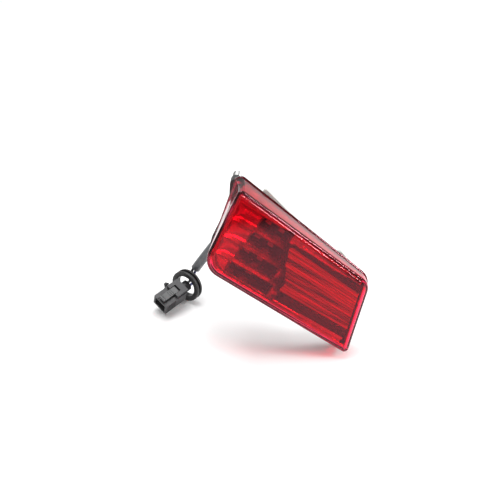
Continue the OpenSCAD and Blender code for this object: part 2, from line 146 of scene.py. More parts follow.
def finish_of(name, dark, light, roughness, mottle=400, pit=2500, depth=0.02, metallic=0.0):
    """A moulded or rolled surface: two close colours in soft patches, uneven gloss, fine pits.

    mottle and pit are how many patches and pits there are in a metre, and depth is the pits' height
    in millimetres.
    """
    finish = bpy.data.materials.new(name)
    finish.use_nodes = True
    nodes, links = finish.node_tree.nodes, finish.node_tree.links
    shader = nodes["Principled BSDF"]
    shader.inputs["Metallic"].default_value = metallic
    where = nodes.new("ShaderNodeTexCoord")
    patches = nodes.new("ShaderNodeTexNoise")
    patches.inputs["Scale"].default_value = mottle
    patches.inputs["Detail"].default_value = 4
    links.new(where.outputs["Object"], patches.inputs["Vector"])
    colours = nodes.new("ShaderNodeValToRGB")
    colours.color_ramp.elements[0].position = 0.35
    colours.color_ramp.elements[1].position = 0.65
    colours.color_ramp.elements[0].color = (*dark, 1)
    colours.color_ramp.elements[1].color = (*light, 1)
    links.new(patches.outputs["Fac"], colours.inputs["Fac"])
    links.new(colours.outputs["Color"], shader.inputs["Base Color"])
    gloss = nodes.new("ShaderNodeMapRange")
    gloss.inputs["From Min"].default_value = 0.3
    gloss.inputs["From Max"].default_value = 0.7
    gloss.inputs["To Min"].default_value = roughness[0]
    gloss.inputs["To Max"].default_value = roughness[1]
    links.new(patches.outputs["Fac"], gloss.inputs["Value"])
    links.new(gloss.outputs["Result"], shader.inputs["Roughness"])
    pits = nodes.new("ShaderNodeTexNoise")
    pits.inputs["Scale"].default_value = pit
    pits.inputs["Detail"].default_value = 3
    links.new(where.outputs["Object"], pits.inputs["Vector"])
    give_relief(finish, pits.outputs["Fac"], depth, strength=0.6)
    return finish, shader


SLEEVE_R = 3.0 * MM
SLEEVE_WALL = 0.7 * MM
sleeve_route = [
    (-30, -4.4, -4), (-30, 4, -4), (-30, 12.5, -4), (-30.2, 19, -6.5), (-30.4, 25, -12),
    (-30.5, 30, -18.5), (-30.6, 34, -26), (-30.6, 37, -34), (-30.5, 39, -42), (-30.4, 40.6, -50),
    (-30.3, 41.6, -58)]
sleeve_path = smooth_route(sleeve_route, 3)
sleeve_end = sleeve_path[-1]
sleeve_ahead = (sleeve_end - sleeve_path[-2]).normalized()
sleeve_mesh = bmesh.new()
sleeve_rings = swept_rings(sleeve_mesh, sleeve_path, [SLEEVE_R] * len(sleeve_path), 32)
bore_path = [sleeve_end - sleeve_ahead * back * MM for back in (0, 0.4, 5, 10)]
bore_radii = [SLEEVE_R - SLEEVE_WALL * 0.6] + [SLEEVE_R - SLEEVE_WALL] * 3
bore_rings = swept_rings(sleeve_mesh, bore_path, bore_radii, 32)
sleeve_mesh.faces.new(sleeve_rings[0])
sleeve_mesh.faces.new(bore_rings[-1])
bmesh.ops.bridge_loops(sleeve_mesh, edges=(edges_round(sleeve_mesh, sleeve_rings[-1])
                                           + edges_round(sleeve_mesh, bore_rings[0])))
pvc, shader = finish_of("shiny_grey_pvc", (0.06, 0.064, 0.07), (0.1, 0.106, 0.115), (0.16, 0.3),
                        mottle=260, pit=900, depth=0.05)
shader.inputs["Coat Weight"].default_value = 0.5
shader.inputs["Coat Roughness"].default_value = 0.18
sleeve = place("harness_sleeve_tube", sleeve_mesh, "lamp", pvc, ["harness_sleeve"])


# ---- Two wires
# Thin-walled wires, one black and one dark blue, that come out of the sleeve, curl through the
# grommet's hole and go into the plug's seal side by side.
PLUG_AT = Vector((-31, 33, -71.2)) * MM
PLUG_PITCH, PLUG_YAW = math.radians(38), math.radians(-120)
plug_ahead = Vector((math.cos(PLUG_YAW) * math.cos(PLUG_PITCH),
                     math.sin(PLUG_YAW) * math.cos(PLUG_PITCH), -math.sin(PLUG_PITCH)))
plug_side = Vector((-math.sin(PLUG_YAW), math.cos(PLUG_YAW), 0))
plug_top = plug_ahead.cross(plug_side)
WIRE_R = 0.85 * MM
WIRE_GAP = 0.6 * MM
WIRE_ASIDE = WIRE_R + WIRE_GAP / 2
NECK_L = 5 * MM
wire_bends = [(-29.6, 42.1, -62.5), (-28.7, 41.9, -64.4), (-27.9, 41, -65.9), (-27.8, 39.3, -66.9)]
sleeve_side = (plug_side - sleeve_ahead * plug_side.dot(sleeve_ahead)).normalized()


def wire(name, side, finish, node):
    """One wire, from inside the sleeve's open end to inside the plug's seal."""
    out = [sleeve_end + sleeve_ahead * t * MM + sleeve_side * WIRE_ASIDE * side
           for t in (-7, -3, 0, 2.2)]
    bends = [Vector(p) * MM + plug_side * WIRE_ASIDE * side for p in wire_bends]
    home = [PLUG_AT - plug_ahead * t + plug_side * WIRE_ASIDE * side
            for t in (NECK_L + 1.5 * MM, NECK_L - 1 * MM, 1 * MM)]
    path = smooth_route([p / MM for p in out + bends + home], 4)
    bm = bmesh.new()
    rings = swept_rings(bm, path, [WIRE_R] * len(path), 16)
    bm.faces.new(rings[0])
    bm.faces.new(rings[-1])
    return place(name, bm, "lamp", finish, [node])


black_wire, _ = finish_of("black_wire_jacket", (0.012, 0.012, 0.013), (0.022, 0.022, 0.024),
                          (0.3, 0.45))
blue_wire, _ = finish_of("blue_wire_jacket", (0.02, 0.025, 0.11), (0.035, 0.04, 0.16), (0.3, 0.45))
wires = [wire("wire_left_jacket", -1, black_wire, "wire_left"),
         wire("wire_right_jacket", 1, blue_wire, "wire_right")]


# ---- Panel grommet
# A thick soft rubber ring with two flanges and a groove between them for the panel's edge. The
# wires pass through its hole, and it hangs on them just behind the plug.
def turned(bm, profile, centre, axis, sides=64, closed=True):
    """Turns a profile of (radius, distance along the axis) points, in millimetres."""
    across = axis.orthogonal().normalized()
    other = axis.cross(across)
    rings = []
    for radius, along in profile:
        rings.append([bm.verts.new(centre + axis * along * MM + radius * MM * (
            across * math.cos(2 * math.pi * k / sides) + other * math.sin(2 * math.pi * k / sides)))
            for k in range(sides)])
    skin(bm, rings + [rings[0]] if closed else rings)
    return rings


def rounded_profile(corners, radii, steps=4):
    """Rounds the corners of a closed profile."""
    points = []
    for i, (corner, radius) in enumerate(zip(corners, radii)):
        here = Vector(corner)
        before = (Vector(corners[i - 1]) - here).normalized()
        after = (Vector(corners[(i + 1) % len(corners)]) - here).normalized()
        for k in range(steps + 1):
            t = k / steps
            points.append(here + before * radius * (1 - t) ** 2 + after * radius * t ** 2)
    return points


GROMMET_AT = Vector((-29.2, 36.2, -68.3)) * MM
grommet_tilt, grommet_yaw = math.radians(111.5), math.radians(-114)
grommet_axis = Vector((math.cos(grommet_yaw) * math.sin(grommet_tilt),
                       math.sin(grommet_yaw) * math.sin(grommet_tilt), math.cos(grommet_tilt)))
HOLE, RIM, FLOOR = 7.0, 10.2, 8.5
HALF, GROOVE = 2.5, 0.8
ring_profile = rounded_profile(
    [(HOLE, -HALF), (RIM, -HALF), (RIM, -GROOVE), (FLOOR, -GROOVE), (FLOOR, GROOVE), (RIM, GROOVE),
     (RIM, HALF), (HOLE, HALF)], [0.7, 0.75, 0.3, 0.25, 0.25, 0.3, 0.75, 0.7])
ring_mesh = bmesh.new()
turned(ring_mesh, ring_profile, GROMMET_AT, grommet_axis)
soft_rubber, _ = finish_of("soft_black_rubber", (0.012, 0.012, 0.012), (0.026, 0.026, 0.027),
                           (0.32, 0.5), mottle=500, pit=1800, depth=0.03)
grommet = place("panel_grommet_ring", ring_mesh, "lamp", soft_rubber,
                ["panel_grommet"])


# ---- Plug body and harness clip
# A small two-way sealed plug, injection moulded in dark grey nylon: a round neck for the wire
# seal, a stepped rear block that guards the latch's hinge, and a square mouth. A clip for the
# panel's edge is pushed on a rail on its side.
def soft_edged(name, node, body, finish, radius, extra=None):
    """The node's own shape with its edges rounded as a mould leaves them."""
    bm = bmesh.new()
    bm.from_mesh(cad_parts[node].data)
    bmesh.ops.remove_doubles(bm, verts=bm.verts, dist=0.002 * MM)
    bmesh.ops.dissolve_limit(bm, angle_limit=math.radians(1), verts=bm.verts, edges=bm.edges)
    if extra:
        extra(bm)
    piece = place(name, bm, body, finish, [node], crease=30)
    round_edges(piece, radius, 38)
    return piece


def round_edges(piece, radius, sharper_than):
    """Rounds the edges that turn by more than this angle, before the shading is evened."""
    rounding = piece.modifiers.new("mould radius", "BEVEL")
    rounding.width = radius * MM
    rounding.segments = 3
    rounding.limit_method = "ANGLE"
    rounding.angle_limit = math.radians(sharper_than)
    piece.modifiers.move(1, 0)


def plug_block(bm, low, high):
    """A block in the plug's own directions: ahead to the mouth, to the side, and to the latch."""
    corners = [bm.verts.new(PLUG_AT + (plug_ahead * x + plug_side * y + plug_top * z) * MM)
               for x in (low[0], high[0]) for y in (low[1], high[1]) for z in (low[2], high[2])]
    for loop in ((0, 1, 3, 2), (4, 6, 7, 5), (0, 4, 5, 1), (2, 3, 7, 6), (0, 2, 6, 4), (1, 5, 7, 3)):
        bm.faces.new([corners[i] for i in loop])


def plug_details(bm):
    """Four grip ribs on each side near the mouth, and a raised band under the rear block."""
    for low, high in ((-5.8, -5.45), (5.45, 5.8)):
        for k in range(4):
            x = 10.2 + 1.5 * k
            plug_block(bm, (x, low, -3.2), (x + 0.7, high, 3.2))
    plug_block(bm, (1.2, -4.2, -4.65), (6.6, 4.2, -4.25))


nylon, _ = finish_of("dark_grey_nylon", (0.026, 0.026, 0.028), (0.045, 0.044, 0.048),
                     (0.38, 0.55), mottle=350, pit=5000, depth=0.02)
plug = soft_edged("plug_body_moulding", "plug_body", "lamp", nylon, 0.28,
                  plug_details)
clip_nylon, _ = finish_of("black_clip_nylon", (0.025, 0.025, 0.026), (0.04, 0.04, 0.042), (0.4, 0.55))
clip = soft_edged("harness_clip_moulding", "harness_clip", "lamp", clip_nylon, 0.2)


# ---- Plug latch and terminal lock
# The latch is a springy arm that is pressed down to free the plug from its socket. The lock is a
# pale slide on the underside that keeps the terminals in and pulls out by 1.5 mm.
def latch_details(bm):
    """Three thumb ridges across the arm."""
    for k in range(3):
        x = 8.2 + 1.3 * k
        plug_block(bm, (x, -1.8, 6.05), (x + 0.6, 1.8, 6.35))


def lock_details(bm):
    """Two ridges that a small blade pulls on."""
    for x in (9.5, 11.5):
        plug_block(bm, (x, -2.2, -4.95), (x + 0.6, 2.2, -4.65))


latch_nylon, _ = finish_of("latch_nylon", (0.07, 0.072, 0.074), (0.1, 0.102, 0.105), (0.35, 0.5))
latch = soft_edged("plug_latch_arm", "plug_latch", "latch", latch_nylon, 0.18,
                   latch_details)
lock_nylon, _ = finish_of("pale_lock_nylon", (0.3, 0.3, 0.31), (0.4, 0.4, 0.41), (0.35, 0.5))
lock = soft_edged("terminal_lock_slide", "terminal_lock", "lock", lock_nylon, 0.15,
                  lock_details)


# ---- Plug terminals and wire seal
# Stamped and tinned brass pins in the mouth, and a blue silicone plug with two holes that keeps
# water out of the neck.
tinned_brass, _ = finish_of("tinned_brass", (0.55, 0.43, 0.2), (0.72, 0.6, 0.34), (0.18, 0.34),
                            mottle=900, metallic=1.0)
pins = soft_edged("plug_terminal_pins", "plug_terminals", "lamp", tinned_brass,
                  0.12)
silicone, _ = finish_of("blue_silicone", (0.05, 0.09, 0.26), (0.08, 0.13, 0.33), (0.35, 0.5))
seal = soft_edged("wire_seal_plug", "wire_seal", "lamp", silicone, 0.15)


# ---- Lens
# One injection moulding in clear red acrylic: a leaning four-sided cup whose face is raked, so
# that it is deep at its left end and shallow at its right. A rounded double bead runs round the
# face, and a thicker rim round the rear edge is welded to the housing.
LAMP_W, LAMP_H, MID_X, MID_Z = 95, 45, 4, -3.7
TOP_SLOPE, BOTTOM_SLOPE = math.tan(math.radians(4.5)), math.tan(math.radians(1.5))
LEFT_LEAN, RIGHT_LEAN = math.tan(math.radians(9.5)), math.tan(math.radians(21.5))
RADII = (2.5, 9, 2.5, 12)
ARC_STEPS = (8, 16, 8, 18)
LENS_REACH, RAKE, FACE_LEAN = 23, math.tan(math.radians(8)), math.tan(math.radians(2.5))
LENS_REAR, FACE_T, SKIRT_T = -5, 2.4, 2.2
RIM_T, BEAD_BACK = 1.8, 2.6


def line_x(z, side):
    """Where the left (-1) or right (1) end is at this height."""
    return MID_X + side * LAMP_W / 2 - (LEFT_LEAN if side < 0 else RIGHT_LEAN) * (z - MID_Z)


def line_z(x, side):
    """Where the bottom (-1) or top (1) edge is at this place."""
    return MID_Z + side * LAMP_H / 2 - (BOTTOM_SLOPE if side < 0 else TOP_SLOPE) * (x - MID_X)


def corner_at(end, edge):
    """The sharp corner where an end meets the top or bottom edge."""
    x = 0.0
    for _ in range(8):
        x = line_x(line_z(x, edge), end)
    return Vector((x, line_z(x, edge)))


CORNERS = [corner_at(-1, 1), corner_at(1, 1), corner_at(1, -1), corner_at(-1, -1)]


def outline(by):
    """The lamp's outline moved in by this much, with its corners rounded, clockwise."""
    moved = []
    for i, here in enumerate(CORNERS):
        into = (here - CORNERS[i - 1]).normalized()
        out = (CORNERS[(i + 1) % 4] - here).normalized()
        p, q = (here + Vector((d.y, -d.x)) * by for d in (into, out))
        t = ((q - p).x * out.y - (q - p).y * out.x) / (into.x * out.y - into.y * out.x)
        moved.append(p + into * t)
    points = []
    for i, here in enumerate(moved):
        u = (moved[i - 1] - here).normalized()
        v = (moved[(i + 1) % 4] - here).normalized()
        half = math.acos(u.dot(v)) / 2
        radius = max(RADII[i] - by, 0.4)
        centre = here + (u + v).normalized() * radius / math.sin(half)
        first = here + u * radius / math.tan(half) - centre
        for k in range(ARC_STEPS[i] + 1):
            turn = -(math.pi - 2 * half) * k / ARC_STEPS[i]
            points.append(centre + Vector((first.x * math.cos(turn) - first.y * math.sin(turn),
                                           first.x * math.sin(turn) + first.y * math.cos(turn))))
    return points


def face_y(x, z, behind=0.0):
    """The lens face's depth at a place, or that of a plane this far behind it."""
    return -LENS_REACH + behind + RAKE * x + FACE_LEAN * z


STUDS = [CORNERS[0] + Vector((0.2, -6.2)), CORNERS[2] + Vector((-10, 8))]
EAR_REACH, EAR_OUT = 12, 4.4
DRAFT, DRAFT_REACH = 1.5, 4


def flare(p, share):
    """Leans the left wall in by its mould draft, and pushes it out again towards the upper stud.

    share is how far back the place is, from 0 at the face to 1 at the rear rim.
    """
    near = max(0.0, 1 - (p - STUDS[0]).length / EAR_REACH)
    push = EAR_OUT * near * near * (3 - 2 * near) * share * share
    draft = DRAFT * share * max(0.0, 1 - (p.x - line_x(p.y, -1)) / DRAFT_REACH)
    return p - Vector((push, 0)) + Vector((draft, 0))


def ring_at(bm, by, depth, share=0.0):
    """One ring of the outline: its inset, its depth at each place, and its share of the flare."""
    ring = []
    for p in outline(by):
        q = flare(p, share)
        ring.append(bm.verts.new(Vector((q.x, depth(p.x, p.y), q.y)) * MM))
    return ring


def behind_face(distance):
    """A depth that follows the raked face."""
    return lambda x, z: face_y(x, z, distance)


def at_depth(y):
    """A depth square to the panel."""
    return lambda x, z: y


def between(share):
    """A depth part of the way from the face's bead to the rear rim."""
    return lambda x, z: face_y(x, z, BEAD_BACK) * (1 - share) + (LENS_REAR - RIM_T) * share


def lens_mesh():
    """Outer skin from rear to face, then the inner skin from face to rear."""
    bm = bmesh.new()
    rim = [(0.9, 0, 1), (-0.3, 0, 1), (-0.6, 0.3, 1), (-0.6, 1.1, 1), (-0.45, 1.5, 1), (0, RIM_T, 0.97)]
    outer = [ring_at(bm, by, at_depth(LENS_REAR - ahead), share) for by, ahead, share in rim]
    outer += [ring_at(bm, 0, between(1 - k / 6), 1 - k / 6) for k in range(1, 6)]
    bead = [(0, BEAD_BACK), (0.07, 2.15), (0.24, 1.75), (0.5, 1.4), (0.85, 1.15), (1.25, 1.0),
            (1.5, 0.97), (1.6, 0.8), (1.78, 0.52), (2.05, 0.28), (2.4, 0.1), (2.85, 0.01), (3.1, 0)]
    outer += [ring_at(bm, by, behind_face(back)) for by, back in bead]
    skin(bm, outer)
    bm.faces.new(outer[-1])
    inside = [(2.4, 0), (2.2, 0), (1.0, 0.12), (0.3, 0.5), (0.05, 1.1), (0, 2)]
    inner = [ring_at(bm, SKIRT_T + by, behind_face(FACE_T + back)) for by, back in inside]
    inner += [ring_at(bm, SKIRT_T, between(0.5)), ring_at(bm, SKIRT_T, at_depth(LENS_REAR))]
    skin(bm, inner)
    bm.faces.new(inner[0])
    skin(bm, [inner[-1], outer[0]])
    return bm


def show_other(finish, usual, other, when):
    """Swaps a material's usual shader for another one where a value is 1."""
    links = finish.node_tree.links
    choose = finish.node_tree.nodes.new("ShaderNodeMixShader")
    links.new(when, choose.inputs["Fac"])
    links.new(usual.outputs["BSDF"], choose.inputs[1])
    links.new(other.outputs["BSDF"], choose.inputs[2])
    links.new(choose.outputs["Shader"], finish.node_tree.nodes["Material Output"].inputs["Surface"])


def red_acrylic():
    """Clear red acrylic, tinted right through and polished. Its shadows let red light through."""
    finish, shader = finish_of("clear_red_acrylic", (0.84, 0.018, 0.075), (0.89, 0.024, 0.09),
                               (0.015, 0.05), mottle=120, pit=700, depth=0.004)
    shader.inputs["Transmission Weight"].default_value = 1.0
    shader.inputs["Specular IOR Level"].default_value = 0.4
    shader.inputs["Specular Tint"].default_value = (1.0, 0.5, 0.58, 1)
    shader.inputs["IOR"].default_value = 1.49
    lamplight = finish.node_tree.nodes.new("ShaderNodeBsdfTransparent")
    lamplight.inputs["Color"].default_value = (0.88, 0.06, 0.13, 1)
    kind = finish.node_tree.nodes.new("ShaderNodeLightPath")
    show_other(finish, shader, lamplight, kind.outputs["Is Shadow Ray"])
    return finish


place("lens_moulding", lens_mesh(), "lamp", red_acrylic(), ["lens"], crease=50)


# ---- Right-hand optic
# A second red moulding behind the right half of the face, with fine flutes along its length that
# spread the light sideways. It sits inside the black bezel, and its colour carries painted shade and
# painted highlight streaks along the flutes.
OPTIC_MID_Z, OPTIC_H, OPTIC_LEFT, OPTIC_T = -3.4, 23.5, 1.6, 1.8
OPTIC_TOP, OPTIC_BOTTOM = OPTIC_MID_Z + OPTIC_H / 2, OPTIC_MID_Z - OPTIC_H / 2
BEZEL_BACK = FACE_T + 0.6
HOUSING_GAP, HOUSING_WALL, BEZEL_GAP = 0.15, 1.8, 0.4
RIGHT_INSET = (SKIRT_T + HOUSING_GAP + HOUSING_WALL + BEZEL_GAP) / math.cos(math.atan(RIGHT_LEAN))
FLUTE_D = 0.42
bezel_bar = [(-6.6, 11.4), (-8.4, 9.4), (-7.6, 7.0), (-5.4, 3.6), (-4.8, 0.4), (-1.9, -2.9),
             (-0.6, -5.4), (2.1, -9.0), (2.3, -11.4), (1.8, -13.6), (2.8, -15.6), (4.9, -17.8),
             (6.6, -20.0)]


def bar_x(z):
    """The line behind the bezel's left bar where the reflector ends and the optic starts."""
    if not bezel_bar[-1][1] < z < bezel_bar[0][1]:
        return OPTIC_LEFT - 2.4 - RIGHT_LEAN * (z - OPTIC_MID_Z)
    for (x0, z0), (x1, z1) in zip(bezel_bar, bezel_bar[1:]):
        if z0 >= z >= z1:
            break
    return x0 + (x1 - x0) * (z0 - z) / (z0 - z1) + 0.8


def arm_line(x):
    """The lower edge of the bezel's upper arm, which falls a little to the right."""
    return 10.2 - 0.07 * (x + 4.3)


def optic_place(u, v):
    """A place on the leaning window: u from its left bar to its right end, v from bottom to top."""
    x = z = 0.0
    for _ in range(4):
        z = OPTIC_BOTTOM + v * (arm_line(x) - OPTIC_BOTTOM)
        left = bar_x(z) + 0.4
        x = left + u * (line_x(z, 1) - RIGHT_INSET - left)
    return x, z


def fluted_optic(flutes=15, columns=26, per_flute=6):
    """A plate with rounded flutes on its front, that run from its left bar to its right end."""
    bm = bmesh.new()
    rows = flutes * per_flute
    sheets = []
    for face in (0, 1):
        sheet = []
        for j in range(rows + 1):
            row = []
            for i in range(columns + 1):
                x, z = optic_place(i / columns, j / rows)
                back = BEZEL_BACK + 0.5 + face * OPTIC_T
                if not face:
                    back += FLUTE_D * (1 - abs(math.sin(math.pi * flutes * j / rows)))
                row.append(bm.verts.new(Vector((x, face_y(x, z, back), z)) * MM))
            sheet.append(row)
        sheets.append(sheet)
        skin(bm, sheet, closed=False)
    edge = [[s[0][i] for i in range(columns + 1)] + [s[j][-1] for j in range(1, rows + 1)]
            + [s[-1][i] for i in range(columns - 1, -1, -1)] + [s[j][0] for j in range(rows - 1, 0, -1)]
            for s in sheets]
    skin(bm, edge)
    return bm


def acrylic_with_painted_streaks():
    """Nearly opaque red acrylic, with painted shade and highlight streaks along the flutes in its
    colour.
    """
    finish, shader = finish_of("fluted_red_acrylic_painted_streaks", (0.85, 0.03, 0.07), (0.92, 0.045, 0.1),
                               (0.06, 0.14), mottle=160, pit=900, depth=0.01)
    shader.inputs["Transmission Weight"].default_value = 0.15
    shader.inputs["IOR"].default_value = 1.49
    nodes, links = finish.node_tree.nodes, finish.node_tree.links
    where = nodes.new("ShaderNodeTexCoord")
    stretch = nodes.new("ShaderNodeMapping")
    stretch.inputs["Rotation"].default_value = (0, math.radians(-4), 0)
    stretch.inputs["Scale"].default_value = (18, 18, 420)
    # Painted shade and painted highlight: stretched noise makes long dark and bright bands along the
    # flutes.
    painted_streaks = nodes.new("ShaderNodeTexNoise")
    painted_streaks.inputs["Scale"].default_value = 1.0
    painted_streaks.inputs["Detail"].default_value = 3
    painted_streak_shades = nodes.new("ShaderNodeValToRGB")
    painted_streak_shades.color_ramp.elements[0].position = 0.34
    painted_streak_shades.color_ramp.elements[0].color = (0.1, 0.004, 0.012, 1)
    painted_streak_shades.color_ramp.elements[1].position = 0.62
    painted_streak_shades.color_ramp.elements[1].color = (0.9, 0.08, 0.16, 1)
    links.new(where.outputs["Object"], stretch.inputs["Vector"])
    links.new(stretch.outputs["Vector"], painted_streaks.inputs["Vector"])
    links.new(painted_streaks.outputs["Fac"], painted_streak_shades.inputs["Fac"])
    links.new(painted_streak_shades.outputs["Color"], shader.inputs["Base Color"])
    return finish


place("inner_optic_plate", fluted_optic(), "lamp", acrylic_with_painted_streaks(),
      ["inner_optic"], crease=60)


# ---- Bezel
# A glossy black moulding in the shape of a U on its side. Its two arms run to the right end, and
# its left bar steps in and out where it closes off each row of the reflector.
def bezel_mesh(bar=1.7, arm_top=3.4, arm_bottom=5.0, depth=3.5):
    """The U as one closed outline with depth, from the widths of its bar and its two arms."""
    inner = [Vector((x + bar, z)) for x, z in bezel_bar[1:-1]]
    outer = [Vector(p) for p in bezel_bar]
    top = arm_line(line_x(8, 1) - RIGHT_INSET)
    right = [(top + arm_top, top), (OPTIC_BOTTOM, OPTIC_BOTTOM - arm_bottom)]
    ends = [[Vector((line_x(z, 1) - RIGHT_INSET, z)) for z in pair] for pair in right]
    shape = [Vector((outer[0].x + 1.2, 12.4))] + ends[0]
    shape += [Vector((inner[0].x + 2.0, arm_line(inner[0].x)))] + inner
    shape += [Vector((inner[-1].x + 2.4, OPTIC_BOTTOM - 0.4))] + ends[1]
    shape += [Vector((outer[-1].x + 3.2, OPTIC_BOTTOM - arm_bottom - 0.1))] + outer[::-1]
    bm = bmesh.new()
    rings = []
    for back in (BEZEL_BACK, BEZEL_BACK + depth):
        rings.append([bm.verts.new(Vector((p.x, face_y(p.x, p.y, back), p.y)) * MM) for p in shape])
    skin(bm, rings)
    bm.faces.new(rings[0])
    bm.faces.new(rings[1])
    return bm


gloss_black, _ = finish_of("gloss_black_moulding", (0.006, 0.006, 0.007), (0.012, 0.011, 0.013),
                           (0.12, 0.25), mottle=300, pit=1500, depth=0.01)
bezel = place("optic_bezel_frame", bezel_mesh(), "lamp", gloss_black, ["optic_bezel"])
round_edges(bezel, 0.35, 30)


# ---- Reflector
# A plastic moulding with a thin bright metal coat: four long troughs with sharp ridges between
# them, whose left ends scoop up, and a dark window in each that shows the board behind.
ROWS, ROW_PITCH, WINDOW_X, WINDOW_H = 4, 10.2, -27.5, 7
ROW_Z = [MID_Z + ((ROWS - 1) / 2 - i) * ROW_PITCH for i in range(ROWS)]
WINDOW_END = [WINDOW_X + 19 + 3 * i for i in range(ROWS)]
RIDGE_BACK, TROUGH_D, SCOOP_L = FACE_T + 1.6, 5.0, 10
REFLECTOR_IN = SKIRT_T + 0.5
REFLECTOR_TOP, REFLECTOR_BOTTOM = 22.9 - REFLECTOR_IN, -26.2 + REFLECTOR_IN
REFLECTOR_REAR, WELL_REAR = LENS_REAR - 4.2, LENS_REAR - 2.7


def reflector_left(level, corner_reach=9):
    """Where the reflector starts at this height, which follows the lens's round lower corner."""
    left = line_x(level, -1) + REFLECTOR_IN
    drop = line_z(left + corner_reach, -1) + RADII[3] - level
    if drop > 0:
        arc = RADII[3] - REFLECTOR_IN
        left += arc - math.sqrt(max(arc ** 2 - min(drop, arc) ** 2, 0))
    return left


def trough_mesh(bm, across=16, along=60, lowest_wider=0.86):
    """A grid that follows the four troughs, left open at the windows.

    The scoops differ a little in length from row to row, and the lowest trough reaches further down.
    """
    rows = ROWS * across
    grid = []
    for j in range(rows + 1):
        level = REFLECTOR_TOP + (REFLECTOR_BOTTOM - REFLECTOR_TOP) * j / rows
        left = reflector_left(level)
        row = []
        right = bar_x(level)
        for i in range(along + 1):
            x = left + (right - left) * i / along
            z = min(max(level, line_z(x, -1) + REFLECTOR_IN), line_z(x, 1) - REFLECTOR_IN)
            nearest = min(ROW_Z, key=lambda r: abs(z - r))
            v = min(abs(z - nearest) / (ROW_PITCH / 2), 1)
            if z < ROW_Z[-1]:
                v *= lowest_wider
            u = min((x - left) / (SCOOP_L + 3 * math.sin(nearest)), 1)
            scoop = math.sqrt(max(1 - (1 - u) ** 2, 0))
            back = RIDGE_BACK + TROUGH_D * math.sqrt(1 - v ** 2) * scoop
            row.append(bm.verts.new(Vector((x, min(face_y(x, z, back), REFLECTOR_REAR), z)) * MM))
        grid.append(row)
    for j in range(rows):
        for i in range(along):
            corners = (grid[j][i], grid[j][i + 1], grid[j + 1][i + 1], grid[j + 1][i])
            middle = sum((c.co for c in corners), Vector()) / 4 / MM
            in_window = any(abs(middle.z - r) < WINDOW_H / 2 and WINDOW_X < middle.x < end
                            for r, end in zip(ROW_Z, WINDOW_END))
            if not in_window:
                bm.faces.new(corners)
    bmesh.ops.delete(bm, geom=[v for v in bm.verts if not v.link_faces], context="VERTS")


def land_mesh(bm, side, inside, pieces=32):
    """The land above (1) or below (-1) the bezel: two low steps from the bezel to the lens's wall."""
    profile = [(0, 4.6), (0, 1.6), (0.3, 1.3), (0.45, 2.6), (0.7, 2.4), (0.85, 1.0), (1, 1.2), (1, 4.6)]
    left = bar_x(inside)
    length = line_x(inside, 1) - 4 - left
    rings = []
    for k in range(pieces + 1):
        x = left - 2 + length * k / pieces
        outside = line_z(x, side) - side * REFLECTOR_IN
        steps = [(inside * (1 - t) + outside * t, back) for t, back in profile]
        rings.append([bm.verts.new(Vector((x, face_y(x, z, FACE_T + back), z)) * MM)
                      for z, back in steps])
    skin(bm, rings, closed=False)


def window_well(bm, z, end):
    """Four walls from a window's edge back to the board."""
    low, high = z - WINDOW_H / 2, z + WINDOW_H / 2
    edge = [(WINDOW_X, low), (WINDOW_X, high), (end, high), (end, low)]
    front = behind_face(RIDGE_BACK + TROUGH_D - 1.4)
    skin(bm, [[bm.verts.new(Vector((x, depth(x, up), up)) * MM) for x, up in edge]
              for depth in (front, at_depth(WELL_REAR))])


def reflector_mesh():
    """The troughs, the lands round the bezel, the windows' wells and a collar round it all."""
    bm = bmesh.new()
    trough_mesh(bm)
    land_mesh(bm, 1, OPTIC_TOP + 3.2)
    land_mesh(bm, -1, OPTIC_BOTTOM - 5.7)
    for z, end in zip(ROW_Z, WINDOW_END):
        window_well(bm, z, end)
    skin(bm, [ring_at(bm, REFLECTOR_IN, behind_face(RIDGE_BACK)),
              ring_at(bm, REFLECTOR_IN, at_depth(REFLECTOR_REAR))])
    return bm


bright_coat, _ = finish_of("bright_metal_coat", (0.62, 0.62, 0.64), (0.8, 0.8, 0.81), (0.16, 0.3),
                           mottle=220, pit=1200, depth=0.012, metallic=0.82)
reflector = place("reflector_troughs", reflector_mesh(), "lamp", bright_coat,
                  ["reflector"], crease=70)
reflector_wall = reflector.modifiers.new("moulded wall", "SOLIDIFY")
reflector_wall.thickness = 0.8 * MM
reflector_wall.offset = 0
reflector.modifiers.move(1, 0)


# ---- Circuit board, diodes and small parts
# A dark green glass-fibre board behind the windows, with two diodes in each row, their series
# resistors, a guard diode, and two screws into the housing's posts.
def etched_board():
    """Solder mask over copper tracks, which show as raised bands."""
    finish, _ = finish_of("dark_solder_mask", (0.008, 0.022, 0.014), (0.012, 0.03, 0.018),
                          (0.3, 0.42))
    where = finish.node_tree.nodes.new("ShaderNodeTexCoord")
    tracks = finish.node_tree.nodes.new("ShaderNodeTexWave")
    tracks.inputs["Scale"].default_value = 160
    tracks.bands_direction = "Z"
    finish.node_tree.links.new(where.outputs["Object"], tracks.inputs["Vector"])
    give_relief(finish, tracks.outputs["Fac"], 0.05)
    return finish


soft_edged("led_board_panel", "led_board", "lamp", etched_board(), 0.1)
ceramic, _ = finish_of("led_ceramic", (0.7, 0.66, 0.5), (0.85, 0.82, 0.72), (0.2, 0.35))
soft_edged("led_packages", "leds", "lamp", ceramic, 0.1)
epoxy, _ = finish_of("black_epoxy", (0.02, 0.02, 0.022), (0.035, 0.035, 0.038), (0.4, 0.5))
soft_edged("board_small_parts", "board_parts", "lamp", epoxy, 0.1)
soft_edged("board_solder_pins", "board_terminals", "lamp", tinned_brass, 0.08)
bright_zinc, _ = finish_of("bright_zinc_plate", (0.55, 0.55, 0.57), (0.72, 0.72, 0.74), (0.18, 0.34),
                           mottle=900, pit=4000, metallic=1.0)
soft_edged("board_screw_pair", "board_screws", "lamp", bright_zinc, 0.08)


